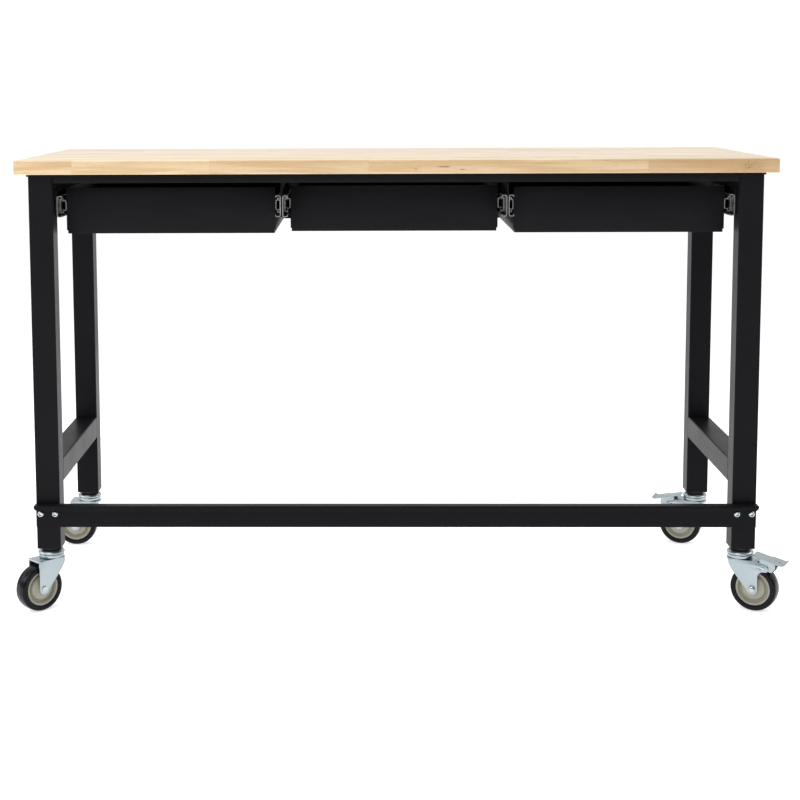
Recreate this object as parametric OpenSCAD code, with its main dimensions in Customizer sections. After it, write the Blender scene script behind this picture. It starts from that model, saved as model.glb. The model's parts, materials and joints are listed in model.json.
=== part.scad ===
// Mobile workbench: a solid wood top on a square-tube steel frame, three drawers on
// ball-bearing slides under the top, and four swivel casters, two of them with brakes.
// X runs along the bench, Y from the back (-) to the front (+) where the drawers open,
// Z up. The origin is on the floor, under the middle of the worktop. Millimetres.

/* [Worktop] */
// Length of the worktop along X
top_w = 1575; // [1500:1:1650]
// Depth of the worktop along Y
top_d = 610; // [590:1:640]
// Thickness of the worktop board
top_t = 29; // [22:1:33]
// Height of the work surface above the floor
bench_h = 968; // [967:1:980]

/* [Frame] */
// Distance over the outer faces of the legs along X
frame_w = 1534; // [1530:1:1560]
// Distance over the outer faces of the legs along Y
frame_d = 525; // [520:1:540]
// Side of the square leg and stretcher tube
tube_s = 50.8; // [48:0.1:51.5]
// Wall of the square tube
tube_t = 2; // [1.5:0.1:3]
// Outer corner radius of the square tube
tube_r = 3; // [2.5:0.1:5]
// Height of the underside of the side stretchers above the floor
side_stretcher_z = 271; // [240:1:420]
// Height of the top of the back stretcher above the floor
back_stretcher_z = 229; // [200:1:260]
// Height of the back stretcher's web
back_stretcher_h = 46; // [40:1:60]
// Depth of the back stretcher's top flange
back_stretcher_flange = 27; // [20:1:32]

/* [Drawers] */
// Outer width of a drawer box
drawer_w = 446; // [430:1:447]
// Outer height of a drawer box
drawer_h = 98; // [80:1:98]
// Height of the underside of the drawer boxes above the floor
drawer_z = 808; // [800:1:810]
// Depth of a drawer box
drawer_d = 448; // [400:1:449]
// How far the middle drawer stands open at rest
middle_ajar = 44; // [0:1:60]

/* [Casters] */
// Height of a caster from the floor to the end of the leg
caster_h = 135; // [133:1:140]
// Diameter of a caster wheel
wheel_d = 100; // [98:1:101]
// Width of a caster wheel
wheel_w = 32; // [28:1:32]
// Distance of the axle from the swivel axis
trail = 33; // [30:1:34]

/* [Hidden] */
$fn = 48;

// Places that follow from the driving dimensions.
BACK = -1;
FRONT = 1;
LEFT = -1;
RIGHT = 1;
MIDDLE = 0;
cut = 1;                                  // how far a cutting solid runs past a face
top_under = bench_h - top_t;              // underside of the worktop
leg_x = (frame_w - tube_s) / 2;           // centre of a leg
leg_y = (frame_d - tube_s) / 2;
leg_in_x = leg_x - tube_s / 2;            // inner face of a leg
leg_out_y = frame_d / 2;

// Leg
plate_s = 56;                             // welded plate on top of each leg
plate_t = 6;

// Rails under the worktop: folded angles and square side tubes
screw_head_r = 5;
screw_head_h = 3;
screw_grip = 18;                          // depth of the worktop screws in the wood
angle_t = 2;
angle_h = 20;
angle_d = 40;
side_rail_s = 40;
side_rail_r = 2.5;
rail_hole_r = 2.6;
rail_hole_n = 5;
rail_hole_pitch = 300;

// Back stretcher and its bolts
sheet_t = 2;
lip_h = 10;
lip_r = 8;                                // round at each lower end of the lip
bolt_r = 4;
bolt_pitch = 31;
bolt_drop = 23;                           // from the flange's top to the bolts
bolt_head_r = 7;
bolt_head_h = 4.5;
bolt_len = 16;

// Drawers
step_in = 2.5;                            // step in the drawer box's lower corners
step_h = 7;
box_t = 1.2;
front_y = 258;                            // outer face of a closed drawer front
front_t = 12;
front_skin = 1.5;
front_gap = 5.6;                          // between two drawer fronts
front_z = 802;
front_h = 110;
box_back_y = front_y - front_t - drawer_d;
pull_inset = 15;                          // from each end of the front to the pull rail
pull_d = 20;
pull_h = 24;
pull_lip = 14;
pull_t = 2;

// Ball-bearing slides, seen along Y: u is the distance from the member that is fixed to
// the frame, up to slide_t at the drawer's side.
slide_t = 12.7;
slide_h = 45;
slide_z = 868;
slide_sheet = 1.2;
slide_y0 = -240;
slide_y1 = 245;
member_y0 = box_back_y + 2;
hanger_t = 3.6;
hanger_flange = 50;
bar_h = 55;
bar_drop = 20;                            // how far the bar reaches below the slide's middle
fit_gap = 0.3;
drawer_pitch = hanger_t + 2 * (slide_t + fit_gap) + drawer_w;
hanger_x = drawer_pitch / 2;
front_w = drawer_pitch - front_gap;
pull_len = front_w - 2 * pull_inset;
slide_screw_r = 2;
slide_screw_y = [-220, 0, 220];
bar_t = leg_in_x - (drawer_pitch + drawer_w / 2) - fit_gap - slide_t;

// Casters
wheel_r = wheel_d / 2;
rim_r = wheel_r - 12.5;
hub_w = 17.5;                             // half length of the rim's hub
axle_r = 5;
axle_gap = 0.06;
crown_z = 107;
crown_t = 4;
blade_in = 19;
blade_t = 3;
blade_out = blade_in + blade_t;
crown_x1 = trail + 11;
race_r = 28.5;
kingpin_r = 6;
race_gap = 0.4;
collar_h = 6;
collar_r = 19.5;
plug_h = 18;
pivot_x = trail + 22;
pivot_z = 99;
pin_r = 3;
pin_gap = 0.06;
pedal_t = 2;
pedal_x0 = 31;                            // where the pedal starts, from the swivel axis
pedal_z0 = 123;
pedal_fall = 0.214;                       // how far it drops for each millimetre outwards
pedal_x1 = 94;
ear_in = 16.4;
ear_t = 2;

// One side of the tyre's outline, from the middle of the tread to the bead: how far each
// point lies inside the wheel's radius, and its share of half the wheel's width.
tread = [[0, 0], [0.3, 0.31], [1.4, 0.63], [3.4, 0.88], [6, 1], [12.5, 1]];

// Direction of each caster's trail, in degrees about Z
swivel_back_left = 224;
swivel_back_right = 330;
swivel_front_left = 178;
swivel_front_right = 158;

// A rectangle with true round corners.
module rounded_rect(w, d, r) {
    square([w - 2 * r, d], center = true);
    square([w, d - 2 * r], center = true);
    for (x = [-1, 1], y = [-1, 1])
        translate([x * (w / 2 - r), y * (d / 2 - r)])
            circle(r);
}

// Square tube standing on the XY plane.
module square_tube(side, wall, r, len) {
    linear_extrude(len)
        difference() {
            rounded_rect(side, side, r);
            rounded_rect(side - 2 * wall, side - 2 * wall, r - wall);
        }
}

// Square tube that runs along Y, from y0 to y1, with its underside at z.
module side_tube(x, z, side, r, y0, y1) {
    translate([x, y0, z + side / 2])
        rotate([-90, 0, 0])
            square_tube(side, tube_t, r, y1 - y0);
}

module bolt_holes(x, r) {
    for (dx = [-bolt_pitch / 2, bolt_pitch / 2])
        translate([x + dx, -leg_out_y - back_stretcher_flange, back_stretcher_z - bolt_drop])
            rotate([-90, 0, 0])
                cylinder(r = r, h = back_stretcher_flange + tube_s / 2);
}

// ---- worktop ----
module worktop() {
    color("burlywood")
        translate([-top_w / 2, -top_d / 2, top_under])
            cube([top_w, top_d, top_t]);
}

// ---- frame ----
module leg(side, end) {
    color("dimgray")
        difference() {
            translate([side * leg_x, end * leg_y, 0]) {
                translate([0, 0, caster_h])
                    square_tube(tube_s, tube_t, tube_r, top_under - plate_t - caster_h);
                translate([-plate_s / 2, -plate_s / 2, top_under - plate_t])
                    cube([plate_s, plate_s, plate_t]);
            }
            if (end == BACK)
                bolt_holes(side * leg_x, bolt_r);
        }
}

module side_stretcher(side) {
    reach = leg_y - tube_s / 2;
    color("dimgray")
        side_tube(side * leg_x, side_stretcher_z, tube_s, tube_r, -reach, reach);
}

module top_rail_side(side) {
    reach = leg_y - plate_s / 2;
    color("dimgray")
        side_tube(side * leg_x, top_under - side_rail_s, side_rail_s, side_rail_r, -reach, reach);
}

// Folded angle between two legs, its flange under the worktop.
module top_rail_along(end) {
    reach = leg_x - plate_s / 2;
    web_y = end == FRONT ? leg_out_y - angle_t : -leg_out_y;
    flange_y = end == FRONT ? leg_out_y - angle_d : -leg_out_y;
    color("dimgray")
        difference() {
            union() {
                translate([-reach, web_y, top_under - angle_h])
                    cube([2 * reach, angle_t, angle_h]);
                translate([-reach, flange_y, top_under - angle_t])
                    cube([2 * reach, angle_d, angle_t]);
            }
            rail_holes(end);
        }
}

function rail_hole_x(i) = (i - (rail_hole_n - 1) / 2) * rail_hole_pitch;

module rail_holes(end) {
    for (i = [0 : rail_hole_n - 1])
        translate([rail_hole_x(i), end * (leg_out_y - angle_d / 2), top_under - angle_t - cut])
            cylinder(r = rail_hole_r, h = angle_t + cut);
}

// The stretcher's turned-down lip, with its two lower corners rounded.
module lip_outline() {
    flat = frame_w - 2 * lip_r;
    translate([-flat / 2, 0])
        square([flat, lip_h]);
    translate([-frame_w / 2, lip_r])
        square([frame_w, lip_h - lip_r]);
    for (side = [LEFT, RIGHT])
        translate([side * flat / 2, lip_r])
            circle(lip_r);
}

module back_stretcher() {
    face = -leg_out_y;
    color("dimgray")
        difference() {
            union() {
                translate([-frame_w / 2, face - sheet_t, back_stretcher_z - back_stretcher_h])
                    cube([frame_w, sheet_t, back_stretcher_h]);
                translate([-frame_w / 2, face - back_stretcher_flange, back_stretcher_z - sheet_t])
                    cube([frame_w, back_stretcher_flange, sheet_t]);
                translate([0, face - back_stretcher_flange + sheet_t, back_stretcher_z - lip_h])
                    rotate([90, 0, 0])
                        linear_extrude(sheet_t)
                            lip_outline();
            }
            for (side = [LEFT, RIGHT])
                bolt_holes(side * leg_x, bolt_r);
        }
}

module stretcher_bolts() {
    color("lightsteelblue")
        for (side = [LEFT, RIGHT], dx = [-bolt_pitch / 2, bolt_pitch / 2])
            translate([side * leg_x + dx, -leg_out_y - sheet_t, back_stretcher_z - bolt_drop])
                rotate([-90, 0, 0]) {
                    translate([0, 0, -bolt_head_h])
                        rotate_extrude()
                            button_head(bolt_head_r, bolt_head_h);
                    cylinder(r = bolt_r, h = bolt_len);
                }
}

// Half outline of a button head, flat side at the top of its height.
module button_head(r, h) {
    polygon([
        [0, 0], [r * 0.45, 0], [r * 0.75, h * 0.18], [r * 0.93, h * 0.5], [r, h], [0, h]
    ]);
}

module worktop_screws() {
    color("silver")
        for (end = [BACK, FRONT], i = [0 : rail_hole_n - 1])
            translate([rail_hole_x(i), end * (leg_out_y - angle_d / 2), top_under - angle_t]) {
                translate([0, 0, -screw_head_h])
                    cylinder(r = screw_head_r, h = screw_head_h);
                cylinder(r = rail_hole_r, h = angle_t + screw_grip);
            }
}

// ---- drawer slides ----
// Plate that hangs from the worktop between two drawers and carries a slide on each side.
module drawer_hanger(side) {
    color("dimgray")
        difference() {
            union() {
                translate([side * hanger_x - hanger_t / 2, slide_y0, slide_z - slide_h / 2])
                    cube([hanger_t, slide_y1 - slide_y0, top_under - angle_t - slide_z + slide_h / 2]);
                translate([side * hanger_x - hanger_flange / 2, slide_y0 + angle_d, top_under - angle_t])
                    cube([hanger_flange, slide_y1 - slide_y0 - 2 * angle_d, angle_t]);
            }
            slide_screw_row(side * hanger_x, hanger_t + cut);
        }
}

// Screw shanks through a member of thickness t centred at x.
module slide_screw_row(x, t) {
    for (y = slide_screw_y)
        translate([x - t / 2, y, slide_z])
            rotate([0, 90, 0])
                cylinder(r = slide_screw_r, h = t);
}

// Flat bar between the front and back legs that carries the outer slide.
module slide_bar(side) {
    color("dimgray")
        difference() {
            translate([side > 0 ? leg_in_x - bar_t : -leg_in_x, slide_y0, slide_z - bar_drop])
                cube([bar_t, slide_y1 - slide_y0, bar_h]);
            slide_screw_row(side * (leg_in_x - bar_t / 2), bar_t + cut);
        }
}

// The two faces that carry one drawer's slides, each as [x of the face, direction of u].
function slide_faces(pos) =
    pos == MIDDLE ? [[-hanger_x + hanger_t / 2, 1], [hanger_x - hanger_t / 2, -1]]
    : pos == LEFT ? [[-leg_in_x + bar_t, 1], [-hanger_x - hanger_t / 2, -1]]
    : [[hanger_x + hanger_t / 2, 1], [leg_in_x - bar_t, -1]];

// A channel seen from its end: web at u0 to u1, height h, flanges out to u2, lips of lip.
module channel(u0, u2, h, lip, y0, y1) {
    t = slide_sheet;
    u1 = u0 < u2 ? u0 + t : u0 - t;
    ulip = u0 < u2 ? u2 - t : u2;
    translate([min(u0, u1), y0, -h / 2])
        cube([t, y1 - y0, h]);
    for (s = [-1, 1]) {
        translate([min(u0, u2), y0, s > 0 ? h / 2 - t : -h / 2])
            cube([abs(u2 - u0), y1 - y0, t]);
        translate([ulip, y0, s > 0 ? h / 2 - lip : -h / 2])
            cube([t, y1 - y0, lip]);
    }
}

module slide_cabinet(pos) {
    color("silver")
        difference() {
            for (f = slide_faces(pos))
                translate([f[0], 0, slide_z])
                    mirror([f[1] < 0 ? 1 : 0, 0, 0])
                        channel(0, 11, slide_h, 4.2, slide_y0, slide_y1);
            for (f = slide_faces(pos))
                slide_screw_row(f[0] + f[1] * slide_sheet / 2, slide_sheet + cut);
        }
}

// Middle member with its two ball cages.
module slide_intermediate(pos) {
    shift = pos == MIDDLE ? middle_ajar / 2 : 0;
    color("gainsboro")
        for (f = slide_faces(pos))
            translate([f[0], shift, slide_z])
                mirror([f[1] < 0 ? 1 : 0, 0, 0]) {
                    channel(2.2, 8.8, 31.4, 4, member_y0 - 12, slide_y1 - 6);
                    for (s = [-1, 1]) {
                        translate([4.2, member_y0 + 20, s * 18.5 - 2.2])
                            cube([3.6, 360, 4.4]);
                        translate([4.6, member_y0 + 40, s * 12.85 - 1.3])
                            cube([1.8, 330, 2.6]);
                    }
                }
}

module slide_drawer(pos) {
    shift = pos == MIDDLE ? middle_ajar : 0;
    color("silver")
        for (f = slide_faces(pos))
            translate([f[0], shift, slide_z])
                mirror([f[1] < 0 ? 1 : 0, 0, 0])
                    channel(slide_t, 4.6, 22.6, 3, member_y0, slide_y1);
}

module slide_screws() {
    color("silver") {
        for (side = [LEFT, RIGHT]) {
            slide_screw_row(side * hanger_x, hanger_t + 2 * slide_sheet);
            slide_screw_row(side * (leg_in_x - (bar_t + slide_sheet) / 2), bar_t + slide_sheet);
        }
    }
}

// ---- drawers ----
module at_drawer(pos) {
    translate([pos * drawer_pitch, pos == MIDDLE ? middle_ajar : 0, 0])
        children();
}

// Outline of a drawer box seen from its end, up to the height top: its lower corners step in.
module box_outline(inset, top) {
    half = drawer_w / 2 - inset;
    low = drawer_z + inset;
    polygon([
        [-half + step_in, low], [half - step_in, low], [half - step_in, low + step_h],
        [half, low + step_h], [half, top], [-half, top],
        [-half, low + step_h], [-half + step_in, low + step_h]
    ]);
}

module drawer_box(pos) {
    color("dimgray")
        at_drawer(pos)
            difference() {
                translate([0, box_back_y + drawer_d, 0])
                    rotate([90, 0, 0])
                        linear_extrude(drawer_d)
                            box_outline(0, drawer_z + drawer_h);
                translate([0, box_back_y + drawer_d - box_t, 0])
                    rotate([90, 0, 0])
                        linear_extrude(drawer_d - 2 * box_t)
                            box_outline(box_t, drawer_z + drawer_h + cut);
            }
}

// Folded pan that faces the drawer, open at the back.
module drawer_front(pos) {
    color("dimgray")
        at_drawer(pos)
            difference() {
                translate([-front_w / 2, front_y - front_t, front_z])
                    cube([front_w, front_t, front_h]);
                translate([-front_w / 2 + front_skin, front_y - front_t - cut, front_z + front_skin])
                    cube([front_w - 2 * front_skin, front_t - front_skin + cut, front_h - 2 * front_skin]);
            }
}

// Full-length hooked pull rail on the upper edge of the drawer front.
module drawer_pull(pos) {
    r = 1;
    color("silver")
        at_drawer(pos)
            translate([-pull_len / 2, front_y, front_z + front_h])
                rotate([90, 0, 90])
                    linear_extrude(pull_len) {
                        translate([0, -pull_h])
                            square([pull_t, pull_h]);
                        translate([0, -pull_t])
                            square([pull_d - r, pull_t]);
                        translate([pull_d - pull_t, -pull_lip])
                            square([pull_t, pull_lip - r]);
                        translate([pull_d - pull_t, -pull_t])
                            square([r, r]);
                        translate([pull_d - r, -r])
                            circle(r);
                        translate([pull_d - pull_t / 2, -pull_lip])
                            circle(pull_t / 2);
                    }
}

// ---- casters ----
// Puts a caster, whose trail runs along its own +X, under a leg.
module at_caster(side, end, angle) {
    translate([side * leg_x, end * leg_y, 0])
        rotate([0, 0, angle])
            children();
}

// Plugs in the legs' lower ends with the ribbed collar that shows below the tube.
module leg_plugs() {
    inner = tube_s - 2 * tube_t - 0.6;
    color("black")
        for (side = [LEFT, RIGHT], end = [BACK, FRONT])
            translate([side * leg_x, end * leg_y, caster_h]) {
                translate([-inner / 2, -inner / 2, 0])
                    cube([inner, inner, plug_h]);
                translate([0, 0, -collar_h])
                    cylinder(r = collar_r, h = collar_h);
            }
}

// Upper ball race and kingpin of each caster, fixed to the leg.
module caster_races() {
    low = crown_z + crown_t + 9.4 + race_gap;
    high = caster_h - collar_h;
    color("lightsteelblue")
        for (side = [LEFT, RIGHT], end = [BACK, FRONT])
            translate([side * leg_x, end * leg_y, 0])
                rotate_extrude()
                    polygon([
                        [0, crown_z - 4.4],
                        [8, crown_z - 4.4],
                        [9, crown_z - 3.4],
                        [9, crown_z - race_gap],
                        [kingpin_r, crown_z - race_gap],
                        [kingpin_r, low],
                        [race_r - 1, low],
                        [race_r, low + 1],
                        [race_r, low + 3],
                        [race_r - 2.5, high - 2],
                        [race_r - 7, high],
                        [0, high]
                    ]);
}

// Outline of a fork blade in the plane of the wheel.
module blade_outline(brake) {
    top = crown_z + crown_t;
    difference() {
        union() {
            polygon(concat(
                [[-20, top], [crown_x1, top]],
                brake
                    ? [[crown_x1 + 6, 107], [pivot_x + 9, 104], [pivot_x + 12, 97], [pivot_x + 9, 91],
                       [pivot_x - 2, 90], [crown_x1 + 3, 86]]
                    : [],
                [[crown_x1 + 0.5, 80], [trail + 11.5, wheel_r], [trail - 10.6, wheel_r - 4.5],
                 [-12, 88], [-19, 100]]
            ));
            translate([trail, wheel_r])
                circle(11.5);
        }
        translate([trail, wheel_r])
            circle(axle_r);
        if (brake)
            translate([pivot_x, pivot_z])
                circle(pin_r);
    }
}

module fork(side, end, angle, brake) {
    color("lightsteelblue")
        at_caster(side, end, angle) {
            difference() {
                union() {
                    translate([0, 0, crown_z])
                        linear_extrude(crown_t) {
                            intersection() {
                                circle(28);
                                translate([-28, -blade_out])
                                    square([56, 2 * blade_out]);
                            }
                            translate([0, -blade_out])
                                square([crown_x1, 2 * blade_out]);
                        }
                    translate([0, 0, crown_z])
                        rotate_extrude()
                            polygon([
                                [0, 0], [22, 0], [22, crown_t], [27, crown_t + 3],
                                [27, crown_t + 7.4], [25, crown_t + 9.4], [0, crown_t + 9.4]
                            ]);
                    for (s = [-1, 1])
                        translate([0, s > 0 ? blade_out : -blade_in, 0])
                            rotate([90, 0, 0])
                                linear_extrude(blade_t)
                                    blade_outline(brake);
                }
                translate([0, 0, crown_z - cut])
                    cylinder(r = kingpin_r + axle_gap, h = 20);
            }
        }
}

module tyre(side, end, angle) {
    right = [for (p = tread) [wheel_r - p[0], p[1] * wheel_w / 2]];
    left = [for (i = [len(tread) - 1 : -1 : 1]) [right[i][0], -right[i][1]]];
    color("black")
        at_caster(side, end, angle)
            translate([trail, 0, wheel_r])
                rotate([90, 0, 0])
                    rotate_extrude($fn = 96)
                        polygon(concat(right, left));
}

module rim(side, end, angle) {
    half = [
        [axle_r + axle_gap, hub_w], [11, hub_w], [13, 15], [15, 6], [27, 6],
        [rim_r - 7.5, 13.5], [rim_r - 5.5, 15], [rim_r, 15]
    ];
    mirrored = [for (i = [len(half) - 1 : -1 : 0]) [half[i][0], -half[i][1]]];
    color("tan")
        at_caster(side, end, angle)
            translate([trail, 0, wheel_r])
                rotate([90, 0, 0])
                    rotate_extrude()
                        polygon(concat(half, mirrored));
}

// Axle bolt through both blades and, on a braked caster, the pedal's pivot pin.
module axle(side, end, angle, brake) {
    color("gainsboro")
        at_caster(side, end, angle) {
            translate([trail, 0, wheel_r])
                rotate([90, 0, 0]) {
                    translate([0, 0, -blade_out])
                        cylinder(r = axle_r, h = 2 * blade_out);
                    translate([0, 0, blade_out])
                        rotate_extrude()
                            polygon([[0, 0], [8, 0], [7.6, 2.5], [6, 4.4], [3.4, 5.4], [0, 5.4]]);
                    translate([0, 0, -blade_out - 1.6])
                        cylinder(r = 6.5, h = 1.6);
                }
            if (brake)
                translate([pivot_x, 0, pivot_z])
                    rotate([90, 0, 0]) {
                        translate([0, 0, -blade_out])
                            cylinder(r = pin_r, h = 2 * blade_out);
                        for (z = [-blade_out - 1.5, blade_out])
                            translate([0, 0, z])
                                cylinder(r = 4.5, h = 1.5);
                    }
        }
}

// Height of the pedal's upper face at x from the swivel axis.
function pedal_top(x) = pedal_z0 - (x - pedal_x0) * pedal_fall;

// Strip of pedal sheet that follows the points along its top, w wide.
module pedal_strip(points, w) {
    under = [for (i = [len(points) - 1 : -1 : 0]) points[i] - [0, pedal_t]];
    translate([0, w / 2, 0])
        rotate([90, 0, 0])
            linear_extrude(w)
                polygon(concat(points, under));
}

module brake_pedal(side, end, angle) {
    color("lightsteelblue")
        at_caster(side, end, angle) {
            pedal_strip([[pedal_x0, pedal_z0], [67, pedal_top(67)]], 36);
            pedal_strip([[65, pedal_top(65)], [pedal_x1, pedal_top(pedal_x1)], [101, 112.5]], 44);
            for (s = [-1, 1])
                translate([0, s > 0 ? ear_in + ear_t : -ear_in, 0])
                    rotate([90, 0, 0])
                        linear_extrude(ear_t)
                            difference() {
                                polygon([
                                    [crown_x1 + 2, pedal_top(crown_x1 + 2) - 1],
                                    [74, pedal_top(74) - 1], [66, 94],
                                    [pivot_x + 4, 91.5], [pivot_x - 4, 91.5], [pivot_x - 7, 96]
                                ]);
                                translate([pivot_x, pivot_z])
                                    circle(pin_r + pin_gap);
                            }
        }
}

// Rubber block between the pedal's ears that presses on the tread.
module brake_pad(side, end, angle) {
    color("black")
        at_caster(side, end, angle)
            translate([0, 15, 0])
                rotate([90, 0, 0])
                    linear_extrude(30)
                        polygon([
                            [60.5, 96.2], [72, 86.8], [76, 92],
                            [74, pedal_top(74) - pedal_t], [64, pedal_top(64) - pedal_t]
                        ]);
}

worktop();
leg(LEFT, BACK);  // leg_back_left
leg(RIGHT, BACK);  // leg_back_right
leg(LEFT, FRONT);  // leg_front_left
leg(RIGHT, FRONT);  // leg_front_right
side_stretcher(LEFT);  // side_stretcher_left
side_stretcher(RIGHT);  // side_stretcher_right
top_rail_side(LEFT);  // top_rail_left
top_rail_side(RIGHT);  // top_rail_right
top_rail_along(BACK);  // top_rail_back
top_rail_along(FRONT);  // top_rail_front
back_stretcher();
drawer_hanger(LEFT);  // drawer_hanger_left
drawer_hanger(RIGHT);  // drawer_hanger_right
slide_bar(LEFT);  // slide_bar_left
slide_bar(RIGHT);  // slide_bar_right
stretcher_bolts();
worktop_screws();
slide_screws();
leg_plugs();
caster_races();
slide_cabinet(LEFT);  // slide_cabinet_left
slide_cabinet(MIDDLE);  // slide_cabinet_middle
slide_cabinet(RIGHT);  // slide_cabinet_right
slide_intermediate(LEFT);  // slide_intermediate_left
slide_intermediate(MIDDLE);  // slide_intermediate_middle
slide_intermediate(RIGHT);  // slide_intermediate_right
slide_drawer(LEFT);  // slide_drawer_left
slide_drawer(MIDDLE);  // slide_drawer_middle
slide_drawer(RIGHT);  // slide_drawer_right
drawer_box(LEFT);  // drawer_box_left
drawer_box(MIDDLE);  // drawer_box_middle
drawer_box(RIGHT);  // drawer_box_right
drawer_front(LEFT);  // drawer_front_left
drawer_front(MIDDLE);  // drawer_front_middle
drawer_front(RIGHT);  // drawer_front_right
drawer_pull(LEFT);  // drawer_pull_left
drawer_pull(MIDDLE);  // drawer_pull_middle
drawer_pull(RIGHT);  // drawer_pull_right
fork(LEFT, BACK, swivel_back_left, false);  // fork_back_left
fork(RIGHT, BACK, swivel_back_right, true);  // fork_back_right
fork(LEFT, FRONT, swivel_front_left, false);  // fork_front_left
fork(RIGHT, FRONT, swivel_front_right, true);  // fork_front_right
tyre(LEFT, BACK, swivel_back_left);  // tyre_back_left
tyre(RIGHT, BACK, swivel_back_right);  // tyre_back_right
tyre(LEFT, FRONT, swivel_front_left);  // tyre_front_left
tyre(RIGHT, FRONT, swivel_front_right);  // tyre_front_right
rim(LEFT, BACK, swivel_back_left);  // rim_back_left
rim(RIGHT, BACK, swivel_back_right);  // rim_back_right
rim(LEFT, FRONT, swivel_front_left);  // rim_front_left
rim(RIGHT, FRONT, swivel_front_right);  // rim_front_right
axle(LEFT, BACK, swivel_back_left, false);  // axle_back_left
axle(RIGHT, BACK, swivel_back_right, true);  // axle_back_right
axle(LEFT, FRONT, swivel_front_left, false);  // axle_front_left
axle(RIGHT, FRONT, swivel_front_right, true);  // axle_front_right
brake_pedal(RIGHT, BACK, swivel_back_right);  // brake_pedal_back_right
brake_pedal(RIGHT, FRONT, swivel_front_right);  // brake_pedal_front_right
brake_pad(RIGHT, BACK, swivel_back_right);  // brake_pad_back_right
brake_pad(RIGHT, FRONT, swivel_front_right);  // brake_pad_front_right
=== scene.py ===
"""Looks of a mobile workbench with three drawers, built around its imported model.

The bench stands on the floor with its origin under the middle of the top: X runs along it,
Y from its back to the front where the drawers open, Z up. All lengths are in metres.
"""

from __future__ import annotations

import json
import logging
import math
from dataclasses import dataclass, field
from enum import Enum
from typing import Any, Callable, Iterable, Mapping, Sequence

import bmesh
import bpy
from mathutils import Matrix, Vector

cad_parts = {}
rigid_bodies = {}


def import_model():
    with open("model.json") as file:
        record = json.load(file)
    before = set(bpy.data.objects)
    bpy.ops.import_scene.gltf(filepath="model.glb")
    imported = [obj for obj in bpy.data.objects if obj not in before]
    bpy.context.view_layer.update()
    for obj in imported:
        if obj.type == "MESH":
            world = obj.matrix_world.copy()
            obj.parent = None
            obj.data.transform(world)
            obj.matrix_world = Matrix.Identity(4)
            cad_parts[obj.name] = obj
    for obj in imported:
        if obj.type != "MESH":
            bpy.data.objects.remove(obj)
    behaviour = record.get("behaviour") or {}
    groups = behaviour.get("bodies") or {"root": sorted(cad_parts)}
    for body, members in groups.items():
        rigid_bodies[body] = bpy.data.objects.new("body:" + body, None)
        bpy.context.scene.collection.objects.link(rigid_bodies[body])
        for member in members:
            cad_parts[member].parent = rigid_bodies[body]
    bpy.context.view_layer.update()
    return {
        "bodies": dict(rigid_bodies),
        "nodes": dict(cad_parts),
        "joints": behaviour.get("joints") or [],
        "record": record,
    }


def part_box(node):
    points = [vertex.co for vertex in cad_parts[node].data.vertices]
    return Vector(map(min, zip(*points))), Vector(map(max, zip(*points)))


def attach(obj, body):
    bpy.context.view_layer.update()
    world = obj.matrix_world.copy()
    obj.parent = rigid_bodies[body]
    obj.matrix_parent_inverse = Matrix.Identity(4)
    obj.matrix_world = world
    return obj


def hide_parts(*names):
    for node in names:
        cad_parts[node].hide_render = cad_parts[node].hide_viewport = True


MM = 0.001
SMOOTH_BELOW = math.radians(32)
MERGE_GAP = 0.002 * MM
TOUCH_GAP = 0.1 * MM
LOG = logging.getLogger("workbench")

Colour = tuple[float, float, float]
Point2 = tuple[float, float]
Triple = tuple[float, float, float]

AXIS_ALONG_Y = Matrix.Rotation(math.radians(90), 4, "X")
SECTION_ALONG_X = Matrix(((0, 0, 1, 0), (1, 0, 0, 0), (0, 1, 0, 0), (0, 0, 0, 1)))


class Side(Enum):
    """Which drawer, or which end of the bench, seen from the back."""

    LEFT = "left"
    MIDDLE = "middle"
    RIGHT = "right"


class Corner(Enum):
    """The four legs, each with its caster."""

    BACK_LEFT = "back_left"
    BACK_RIGHT = "back_right"
    FRONT_LEFT = "front_left"
    FRONT_RIGHT = "front_right"


BRAKED = (Corner.BACK_RIGHT, Corner.FRONT_RIGHT)


def linear(red: int, green: int, blue: int) -> Colour:
    """Turn a screen colour of 0 to 255 into scene-linear numbers.

    Args:
        red, green, blue: the screen colour.

    Returns:
        The same colour in linear light.
    """
    shares = [channel / 255 for channel in (red, green, blue)]
    return tuple(s / 12.92 if s <= 0.04045 else ((s + 0.055) / 1.055) ** 2.4 for s in shares)


def in_metres(outline: Iterable[Point2]) -> list[Point2]:
    """Turn an outline given in millimetres into metres."""
    return [(u * MM, v * MM) for u, v in outline]


# ---- node trees ----


class Signal:
    """A socket of a node tree that takes part in Python arithmetic."""

    def __init__(self, graph: Graph, socket: bpy.types.NodeSocket) -> None:
        """Wrap one output socket of a graph."""
        self.graph = graph
        self.socket = socket

    def __add__(self, other: Signal | float) -> Signal:
        """Add a number or another signal."""
        return self.graph.math("ADD", self, other)

    def __sub__(self, other: Signal | float) -> Signal:
        """Take away a number or another signal."""
        return self.graph.math("SUBTRACT", self, other)

    def __rsub__(self, other: float) -> Signal:
        """Take this signal away from a number."""
        return self.graph.math("SUBTRACT", other, self)

    def __mul__(self, other: Signal | float) -> Signal:
        """Multiply by a number or another signal."""
        return self.graph.math("MULTIPLY", self, other)

    def __truediv__(self, other: Signal | float) -> Signal:
        """Divide by a number or another signal."""
        return self.graph.math("DIVIDE", self, other)

    __radd__ = __add__
    __rmul__ = __mul__


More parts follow.
